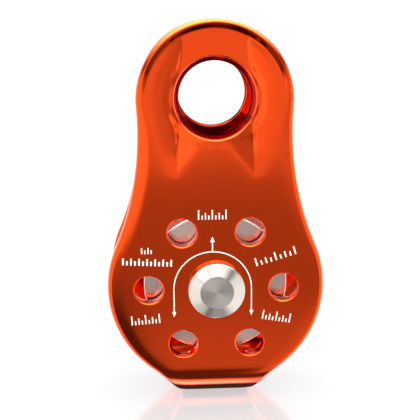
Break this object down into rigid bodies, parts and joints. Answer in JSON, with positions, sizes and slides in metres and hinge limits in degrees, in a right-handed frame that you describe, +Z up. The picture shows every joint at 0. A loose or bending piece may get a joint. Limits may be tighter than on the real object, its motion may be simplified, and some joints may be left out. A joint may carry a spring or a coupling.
{
  "type": "rope pulley",
  "caption": "Fixed-cheek rope pulley: a folded anodised aluminium body with a hanging eye, and a grooved sheave on ball bearings around a riveted axle.",
  "frame": {"origin": "centre of the sheave, on the axle and midway between the side plates", "axes": "+Y along the axle to the rear, +Z up to the eye, +X to the right seen from the front"},
  "size_m": [0.0586, 0.0316, 0.1052],
  "materials": {
    "anodised_sheet": "polished, clear orange anodising",
    "stainless": "turned stainless steel, fine concentric marks",
    "turned_aluminium": "turned, plain silver aluminium",
    "bearing_steel": "ground and polished bearing steel",
    "shield_steel": "satin pressed steel",
    "cage_nylon": "moulded natural nylon",
    "washer_bronze": "sintered bronze"
  },
  "bodies": {
    "frame": {"side_plates": "anodised_sheet", "axle_pin": "stainless", "rear_rivet_collar": "stainless", "inner_ring_spacer": "stainless", "front_thrust_washer": "washer_bronze", "rear_thrust_washer": "washer_bronze", "front_bearing_inner_ring": "bearing_steel", "rear_bearing_inner_ring": "bearing_steel"},
    "sheave": {"sheave": "turned_aluminium", "front_bearing_outer_ring": "bearing_steel", "front_bearing_outer_shield": "shield_steel", "front_bearing_inner_shield": "shield_steel", "rear_bearing_outer_ring": "bearing_steel", "rear_bearing_outer_shield": "shield_steel", "rear_bearing_inner_shield": "shield_steel"},
    "front_cage": {"front_bearing_cage": "cage_nylon", "front_bearing_balls": "bearing_steel"},
    "rear_cage": {"rear_bearing_cage": "cage_nylon", "rear_bearing_balls": "bearing_steel"}
  },
  "joints": [
    {"name": "sheave_spin", "type": "hinge", "parent": "frame", "child": "sheave", "pos_m": [0, 0, 0], "axis": [0, 1, 0], "continuous": true},
    {"name": "front_cage_spin", "type": "hinge", "parent": "frame", "child": "front_cage", "pos_m": [0, 0, 0], "axis": [0, 1, 0], "continuous": true},
    {"name": "rear_cage_spin", "type": "hinge", "parent": "frame", "child": "rear_cage", "pos_m": [0, 0, 0], "axis": [0, 1, 0], "continuous": true}
  ],
  "couplings": [
    {"joint": "front_cage_spin", "follows": "sheave_spin", "ratio": 0.58333},
    {"joint": "rear_cage_spin", "follows": "sheave_spin", "ratio": 0.58333}
  ]
}
